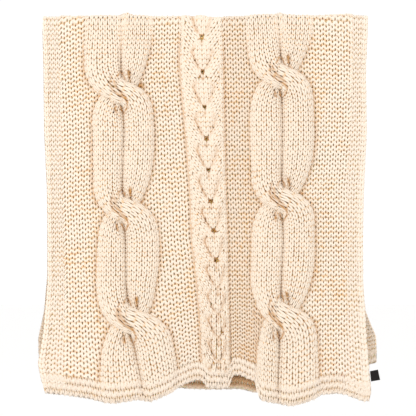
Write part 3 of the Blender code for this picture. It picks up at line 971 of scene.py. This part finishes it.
def make_sheet(wool):
    """The cloth itself, thin and closed, with a hole at each eyelet."""
    alongs = np.linspace(-BACK_RUN, FRONT_RUN, SHEET_ROWS)
    open_places = set()
    for eyelet in EYELETS:
        upper = int(np.searchsorted(alongs, eyelet)) - 1
        alongs[upper:upper + 2] = (eyelet - SHEET_HOLE, eyelet + SHEET_HOLE)
        open_places.add((upper, SHEET_BANDS[0][2] - 1))
    bands = []
    for low, high, count in SHEET_BANDS:
        low_x = line_x(low, alongs) + SHEET_HOLE * (low == "braid_middle")
        high_x = line_x(high, alongs) - SHEET_HOLE * (high == "braid_middle")
        bands.append(np.linspace(low_x, high_x, count, axis=1)[:, int(low == "braid_end"):])
    x = np.concatenate(bands, axis=1)
    rows, count = x.shape
    bm = bmesh.new()
    inner_mark = bm.verts.layers.float.new("inner")
    layers = []
    for out, mark in ((SHEET_OUTSIDE, 0.0), (SHEET_INSIDE, 1.0)):
        places = cloth_point(x, alongs[:, None], out)
        layers.append([[bm.verts.new(tuple(p)) for p in row] for row in places])
        for vertex in (v for row in layers[-1] for v in row):
            vertex[inner_mark] = mark
    outer, inner = layers

    def solid(row, column):
        within = 0 <= row < rows - 1 and 0 <= column < count - 1
        return within and (row, column) not in open_places

    for row, column in ((r, c) for r in range(rows - 1) for c in range(count - 1)):
        if not solid(row, column):
            continue
        corners = ((row, column), (row + 1, column), (row + 1, column + 1), (row, column + 1))
        bm.faces.new([outer[r][c] for r, c in corners])
        bm.faces.new([inner[r][c] for r, c in corners[::-1]])
        beside = ((row, column - 1), (row + 1, column), (row, column + 1), (row - 1, column))
        for number, place in enumerate(beside):
            if not solid(*place):
                (r1, c1), (r2, c2) = corners[number], corners[(number + 1) % 4]
                bm.faces.new((outer[r2][c2], outer[r1][c1], inner[r1][c1], inner[r2][c2]))
    return object_of("throw_cloth", bm, wool)


def close_rings(bm, rows):
    """A closed solid through rings of places."""
    rings = [[bm.verts.new(tuple(p)) for p in row] for row in rows]
    ring_faces(bm, rings)
    bm.faces.new(rings[0])
    bm.faces.new(rings[-1][::-1])


def braid_core_rows(alongs, side):
    """Rings of one half of the braid's core, or with side 0 of a bridge down its middle."""
    rows = []
    for along in alongs:
        start, middle, end = braid_lines(along)
        low = (start + CORE_MARGIN, middle - EYELET_HALF, middle + EYELET_HALF)[side + 1]
        high = (middle - EYELET_HALF, middle + EYELET_HALF, end - CORE_MARGIN)[side + 1]
        x = np.linspace(low, high, HALF_POINTS if side else BRIDGE_POINTS)
        height = braid_height(x, np.full_like(x, along)) * settle(along)
        out = np.maximum(FLAT_YARN - CORE_DEPTH + height, CORE_LEAST)
        rows.append(cloth_point([*x, high, low], along, [*out, CORE_FOOT, CORE_FOOT]))
    return rows


def make_cores(wool):
    """What the stitches of the cables and the braid lie on; the eyelets stay open."""
    bm = bmesh.new()
    ends = (-BACK_RUN + CORE_ENDS, FRONT_RUN - CORE_ENDS)
    alongs = np.linspace(*ends, CORE_RINGS)
    shares = np.linspace(0.0, 1.0, CORE_SHARES)
    for cable, ribbon in STRANDS:
        grid = strand_rows(cable, ribbon, alongs, shares, FLAT_YARN, CORE_FOLD)
        close_rings(bm, grid - outward_normals(grid) * CORE_DEPTH * MM)
    for side in (-1, 1):
        close_rings(bm, braid_core_rows(alongs, side))
    stops = [ends[0], *EYELETS, ends[1]]
    for low, high in zip(stops, stops[1:]):
        if high - low > 4.0 * EYELET_HALF:
            rings = max(BRIDGE_RINGS, int((high - low) / ROW))
            span = np.linspace(low + EYELET_HALF, high - EYELET_HALF, rings)
            close_rings(bm, braid_core_rows(span, 0))
    return object_of("cable_cores", bm, wool)


# The knitting

def guide_alongs(rows, per_row=2):
    """Rows of a guide that reaches a little past the first and the last row of stitches."""
    first, last = rows
    lines = np.linspace(first - ROW_MARGIN, last + ROW_MARGIN,
                        int((last - first + 2 * ROW_MARGIN) * per_row) + 1)
    return (lines[0], lines[-1]), lines * ROW


def lattice(first_wale, last_wale, rows, kind):
    """One stitch in every wale of every row."""
    return np.array([(wale + 0.5, row + 0.5, kind, 0.0)
                     for row in range(*rows) for wale in range(first_wale, last_wale)])


class Knitter:
    """Lays each piece of knitting on its guide and keeps it as a plain mesh."""

    def __init__(self):
        self.tree = stitch_tree()
        inputs = (item for item in self.tree.interface.items_tree if item.in_out == "INPUT")
        self.sockets = {item.name: item.identifier for item in inputs}
        self.stitches = bpy.data.collections.new("stitch_kinds")
        for row in STITCHES:
            template = stitch(*row)
            bpy.context.scene.collection.objects.unlink(template)
            self.stitches.objects.link(template)
        self.pieces = []

    def knit(self, name, grid, wales, rows, shades, places, yarn, seed):
        surface = lay_surface(name + "_guide", grid, wales, rows, shades)
        chart = chart_points(name + "_chart", places)
        modifier = chart.modifiers.new("stitches", "NODES")
        modifier.node_group = self.tree
        settings = {"Surface": surface, "Stitches": self.stitches, "Yarn": yarn,
                    "Looseness": LOOSENESS, "Seed": seed,
                    "First wale": wales[0] + CHART_EDGE, "Last wale": wales[1] - CHART_EDGE,
                    "First row": rows[0] + CHART_EDGE, "Last row": rows[1] - CHART_EDGE}
        for label, value in settings.items():
            modifier[self.sockets[label]] = value
        bpy.context.view_layer.update()
        depsgraph = bpy.context.evaluated_depsgraph_get()
        laid = chart.evaluated_get(depsgraph)
        mesh = bpy.data.meshes.new_from_object(laid, depsgraph=depsgraph)
        mesh.name = name
        chart.modifiers.clear()
        for guide in (chart, surface):
            bpy.data.objects.remove(guide, do_unlink=True)
        self.pieces.append(place_object(name, mesh))

    def finish(self):
        """Removes the loose stitches and gives back the pieces."""
        for template in list(self.stitches.objects):
            bpy.data.objects.remove(template, do_unlink=True)
        bpy.data.collections.remove(self.stitches)
        return self.pieces


def hidden_by_cables(x, run):
    hidden = np.zeros_like(x, bool)
    for cable, ribbon in STRANDS:
        left, right = strand_edges(cable, ribbon, run)[:2]
        hidden |= (x > left + UNDER_CABLE) & (x < right - UNDER_CABLE)
    return hidden


def pocket_marks(x, run):
    """1 in the middle of a hollow beside a crossing, fading to 0 outside it."""
    mark = np.zeros_like(x)
    for pocket_x, pocket_run, long_half, short_half, rise in POCKETS:
        across, down = math.cos(math.radians(rise)), -math.sin(math.radians(rise))
        along_it = (x - pocket_x) * across + (run - pocket_run) * down
        over_it = (run - pocket_run) * across - (x - pocket_x) * down
        mark = np.maximum(mark, np.exp(-((along_it / long_half) ** 2) - (over_it / short_half) ** 2))
    return mark


def beside_raised(x, run):
    """1 at the foot of a cable or of the braid, fading to 0 out on the panel."""
    start, _middle, end = braid_lines(run)
    nearest = np.minimum(np.abs(x - start), np.abs(x - end))
    for cable, ribbon in STRANDS:
        left, right = strand_edges(cable, ribbon, run)[:2]
        nearest = np.minimum(nearest, np.maximum(np.maximum(left - x, x - right), 0.0))
    return bell(nearest / EDGE_NEAR) * settle(run)


def panel_shades(name, x, run, alongs, shares):
    """Painted shade on a panel: its own share, growing towards the bottom and to the right,
    deeper beside raised knitting as painted shadow, and darkest in the pockets.
    """
    lower = smooth((run - LOWER_FROM) / LOWER_FROM) * shares
    shade = PANEL_SHADES[name] * (1.0 + LOWER_SHADE * lower)
    level = np.broadcast_to(alongs[:, None], x.shape)
    shade = np.maximum(shade, EDGE_SHADE * beside_raised(x, level))
    return np.maximum(shade, pocket_marks(x, run))


def knit_panels(knitter, yarn):
    rows, alongs = guide_alongs(PANEL_ROWS, per_row=4)
    for number, (name, low, high, wales) in enumerate(PANELS):
        shares = np.arange(-1.0, wales + 1.25, 0.25) / wales
        x, along = part_places(name, low, high, alongs[:, None], shares)
        height = PANEL_HEIGHT - POCKET_DEPTH * pocket_marks(x, along)
        places = lattice(0, wales, PANEL_ROWS, PURL)
        spots = part_places(name, low, high, places[:, 1] * ROW, places[:, 0] / wales)
        knitter.knit(name, cloth_point(x, along, height), (-1.0, wales + 1.0), rows,
                     panel_shades(name, x, along, alongs, shares),
                     places[~hidden_by_cables(*spots)], yarn, SEEDS["panel"] + number)


def knit_cables(knitter, yarn):
    wales = WALES["cable"]
    rows, alongs = guide_alongs(RAISED_ROWS, per_row=4)
    shares = np.linspace(0.0, 1.0, wales * WALE_STEPS["cable"] + 1)
    for number, (cable, ribbon) in enumerate(STRANDS):
        grid = strand_rows(cable, ribbon, alongs, shares, FLAT_YARN)
        # Painted shade in the strand's folds and crease, and a little over all of it
        shades = STRAND_SHADE * strand_shades(cable, ribbon, alongs, shares)
        places = lattice(0, wales, RAISED_ROWS, KNIT)
        run = places[:, 1] * ROW
        near, neck = nearest_neck(cable, run)
        covered = (near % 2 != ribbon) & (np.abs(run - neck) < HIDDEN_NECK)
        knitter.knit(f"{cable}_strand_{ribbon + 1}", grid, (0.0, wales), rows,
                     np.maximum(shades, RAISED_SHADE), places[~covered], yarn,
                     SEEDS["cable"] + number)


def knit_borders(knitter, yarn):
    """Plain purl with one chain of knit stitches along the outer edge."""
    wales = WALES["border"]
    full = (FIRST_ROW, LAST_ROW)
    rows, alongs = guide_alongs(full)
    shares = np.arange(-1.0, wales + 1.5, 0.5) / wales
    borders = (("left_border_knit", "left_edge", "left_border", 1, 0),
               ("right_border_knit", "right_border", "right_edge", 0, wales - 1))
    for number, (name, low, high, first, chain) in enumerate(borders):
        x, along = part_places(name, low, high, alongs[:, None], shares)
        places = np.concatenate((lattice(first, first + wales - 1, full, FULL_PURL),
                                 lattice(chain, chain + 1, full, EDGE_KNIT)))
        knitter.knit(name, cloth_point(x, along, BORDER_HEIGHT), (-1.0, wales + 1.0), rows,
                     BORDER_SHADE, places, yarn, SEEDS["border"] + number)


def leaf_foot(share):
    """Run of a place counted in leaves from the first leaf's end."""
    last = len(LEAF_ENDS) - 1
    inside = np.interp(share, np.arange(last + 1), LEAF_ENDS)
    return inside + (min(share, 0.0) + max(share - last, 0.0)) * LEAF_PITCH


def braid_places(wales):
    """Arms that run down and in from both sides, an outer column each side, a middle column."""
    first, last = RAISED_ROWS
    slope = math.atan(1.0 / LEAF_SLANT)
    step = ROW * math.sin(slope)
    places = []

    def add(x, run, turn):
        start, _middle, end = braid_lines(run)
        share = (x - start) / (end - start)
        if first + BRAID_ENDS < run / ROW < last - BRAID_ENDS and 0.0 <= share <= 1.0:
            places.append((share * wales, run / ROW, BRAID_KNIT, turn))

    for line in range(-ARM_WALES * 2, ARM_WALES * (len(LEAF_ENDS) + 6)):
        foot = leaf_foot((line + 0.5) / ARM_WALES)
        away = EYELET_CLEAR * 0.5 + (line * LEAF_PITCH / ARM_WALES * math.cos(slope)) % step
        while away < ARM_LENGTH:
            run = foot - LEAF_SLANT * away
            middle = line_x("braid_middle", run)
            for side in (-1.0, 1.0):
                inner = crease_away(middle + side, run) - INNER_REACH
                outer = braid_half(middle + side, run) - OUTER_COLUMN + COLUMN_REACH
                if inner < away < outer:
                    add(middle + side * away, run, side * slope)
            away += step
    for row in range(first, last):
        run = (row + 0.5) * ROW
        start, middle, end = braid_lines(run)
        add(start + OUTER_COLUMN / 2.0, run, 0.0)
        add(end - OUTER_COLUMN / 2.0, run, 0.0)
        for column in range(-2, 3):
            if abs(column * UPRIGHT) < crease_away(middle + column, run) + COLUMN_REACH:
                add(middle + column * UPRIGHT, run, 0.0)
    return clear_eyelets(np.array(places), wales)


def clear_eyelets(places, wales):
    """Stitches move aside where an eyelet opens."""
    run = places[:, 1] * ROW
    start, _middle, end = braid_lines(run)
    x = start + (end - start) * places[:, 0] / wales
    keep = np.ones(len(places), bool)
    for eyelet in EYELETS:
        aside, down = x - line_x("braid_middle", eyelet), run - eyelet
        away = np.hypot(aside, down)
        keep &= away > EYELET_EMPTY
        pushed = np.where(away < EYELET_CLEAR, EYELET_CLEAR / np.maximum(away, 1.0), 1.0)
        x = x + aside * (pushed - 1.0)
        run = run + down * (pushed - 1.0)
    places[:, 0] = (x - start) / (end - start) * wales
    places[:, 1] = run / ROW
    return places[keep]


def braid_shades(alongs, shares):
    """Painted shade in the braid's creases, and in the tight little gap under each eyelet and leaf
    end.
    """
    x, run = part_places("braid", "braid_start", "braid_end", alongs[:, None], shares)
    shade = np.maximum(ARM_SHADE * arm_crease(x, run), RAISED_SHADE)
    for end in LEAF_ENDS:
        aside = (x - line_x("braid_middle", end)) / EYELET_MARK[0]
        for down, sharp in EYELET_SHADES:
            below = (run - end - down) / EYELET_MARK[1]
            shade = np.maximum(shade, sharp * np.exp(-(aside**2) - below**2))
    return shade


def knit_braid(knitter, yarn):
    wales = WALES["braid"]
    rows, alongs = guide_alongs(RAISED_ROWS, per_row=3)
    shares = np.linspace(0.0, 1.0, wales * WALE_STEPS["braid"] + 1)
    knitter.knit("braid", braid_rows(alongs, shares, FLAT_YARN), (0.0, wales), rows,
                 braid_shades(alongs, shares), braid_places(wales), yarn, SEEDS["braid"])


def knit_hems(knitter, yarn):
    """Beaded ridges along each hem; they turn in over its edge and up its inner face."""
    wales = WALES["hem"]
    shares = np.linspace(0.0, 1.0, wales * WALE_STEPS["hem"] + 1)
    for name, limit, side in (("front_hem", FRONT_RUN, 1), ("back_hem", BACK_RUN, -1)):
        ridges = np.arange(-HEM_ABOVE - 1.0, HEM_INSIDE + 1.01, 0.25)[::side]
        alongs = side * (limit + ridges * HEM_PITCH)
        chart = side * np.arange(-HEM_ABOVE, HEM_INSIDE + 1)
        span = [side * end for end in (-HEM_ABOVE - 1.0, HEM_INSIDE + 1.0)][::side]
        kept = np.clip(alongs, -BACK_RUN, FRONT_RUN)
        x, run = part_places(name, "left_edge", "right_edge", kept[:, None], shares)
        start, _middle, end = braid_lines(run)
        braid = np.where((x > start) & (x < end), braid_height(x, run), 0.0)
        height = np.maximum(cable_height(x, run), braid)
        grid = cloth_point(x, alongs[:, None], FLAT_YARN + HEM_RISE + HEM_FOLLOWS * height)
        # Painted shade on the rows turned in behind the middle of the hem, and a little over all of
        # it
        middle = 1.0 - smooth((np.abs(x) - HEM_DARK_HALF) / HEM_DARK_FADE)
        turned = smooth((np.abs(alongs[:, None]) - limit) / HEM_PITCH - HEM_DARK_FROM)
        shade = np.maximum(HEM_INNER_SHADE * turned * middle, HEM_SHADE)
        places = [(wale + 0.5, row, HEM_BEAD, 0.0) for row in chart for wale in range(wales)]
        knitter.knit(name, grid, (0.0, wales), span, shade, np.array(places), yarn, SEEDS["hem"])


def knit_inner_edges(knitter, yarn):
    """The inner face beside the four side edges, where the parted flaps show it."""
    wales = WALES["inner"]
    across = (np.arange(0.0, wales + 0.1, 0.5) - INNER_PAST) * ROW
    seed = SEEDS["inner"]
    for flap, span in (("front", (3, LAST_ROW - 1)), ("back", (FIRST_ROW + 1, -3))):
        rows, alongs = guide_alongs(span)
        for side, way in (("left", 1), ("right", -1)):
            x = (line_x(side + "_edge", alongs)[:, None] + way * across)[:, ::-way]
            # These inner faces take a little painted shade
            knitter.knit(f"{flap}_{side}_inner_edge", cloth_point(x, alongs[:, None], INNER_YARN),
                         (0.0, wales), rows, INNER_SHADE, lattice(0, wales, span, HEM_BEAD),
                         yarn, seed)
            seed += 1


# Stage, light and camera

def make_stage():
    """A plain pale floor under the hanging throw."""
    bm = bmesh.new()
    bmesh.ops.create_circle(bm, cap_ends=True, segments=64, radius=FLOOR_RADIUS)
    bmesh.ops.translate(bm, verts=bm.verts, vec=(0.0, 0.0, FLOOR_HEIGHT))
    mesh = bpy.data.meshes.new("floor")
    bm.to_mesh(mesh)
    bm.free()
    made, _nodes, _shader = new_material("pale_floor", {
        "Base Color": (0.94, 0.935, 0.93, 1.0), "Roughness": 0.9})
    mesh.materials.append(made)
    place_object("floor", mesh)


def make_light():
    """A bright even room, and one large soft light from the front left."""
    world = bpy.data.worlds.new("soft_room")
    bpy.context.scene.world = world
    world.use_nodes = True
    background = world.node_tree.nodes["Background"]
    background.inputs["Color"].default_value = (1.0, 1.0, 1.0, 1.0)
    background.inputs["Strength"].default_value = 1.06
    light = bpy.data.lights.new("front_softbox", "AREA")
    light.shape = "RECTANGLE"
    light.size = 1.6
    light.size_y = 1.6
    light.energy = 45.0
    light.color = (1.0, 0.97, 0.93)
    made = place_object("front_softbox", light)
    made.location = (-1.8, -4.0, 1.6)
    direction = Vector((0.0, 0.0, -0.5)) - made.location
    made.rotation_euler = direction.to_track_quat("-Z", "Y").to_euler()
    bpy.context.scene.view_settings.view_transform = "Standard"


def make_camera():
    camera = bpy.data.cameras.new("photo_camera")
    made = place_object("photo_camera", camera)
    x = (IMAGE / 2.0 - MIDDLE_PIXEL) * PIXEL * MM
    z = (CLOTH - (IMAGE / 2.0 - TOP_PIXEL) * PIXEL) * MM
    made.location = (x, -CAMERA_DISTANCE, z)
    made.rotation_euler = (math.pi / 2.0, 0.0, 0.0)
    camera.sensor_width = SENSOR
    camera.lens = SENSOR * FACE_DISTANCE / (IMAGE * PIXEL * MM)
    camera.clip_end = 100.0
    bpy.context.scene.camera = made


def main():
    make_camera()
    make_stage()
    make_light()
    yarn = wool_yarn("wool_yarn", *YARN_COLOURS)
    # The border and hem yarn has a fainter painted shade at its strand ends
    faintly_shaded_yarn = wool_yarn("faintly_shaded_wool_yarn", *FAINT_SHADE_COLOURS)
    # Painted shade for the sheet and cores, seen in the gaps between stitches and in the eyelets
    inside = painted_shade_wool("painted_shade_wool", *GAP_SHADE_COLOURS)
    sheet = make_sheet(inside)
    cores = make_cores(inside)
    knitter = Knitter()
    knit_panels(knitter, yarn)
    knit_cables(knitter, yarn)
    knit_borders(knitter, faintly_shaded_yarn)
    knit_braid(knitter, yarn)
    knit_hems(knitter, faintly_shaded_yarn)
    knit_inner_edges(knitter, yarn)
    raised = [cores, *knitter.finish()]
    tab = frame["nodes"]["side_tab"]
    tab.data.materials.clear()
    tab.data.materials.append(woven_ribbon("black_ribbon"))
    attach(sheet, "root")
    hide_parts("throw")
    for piece in raised:
        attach(piece, "root")


main()
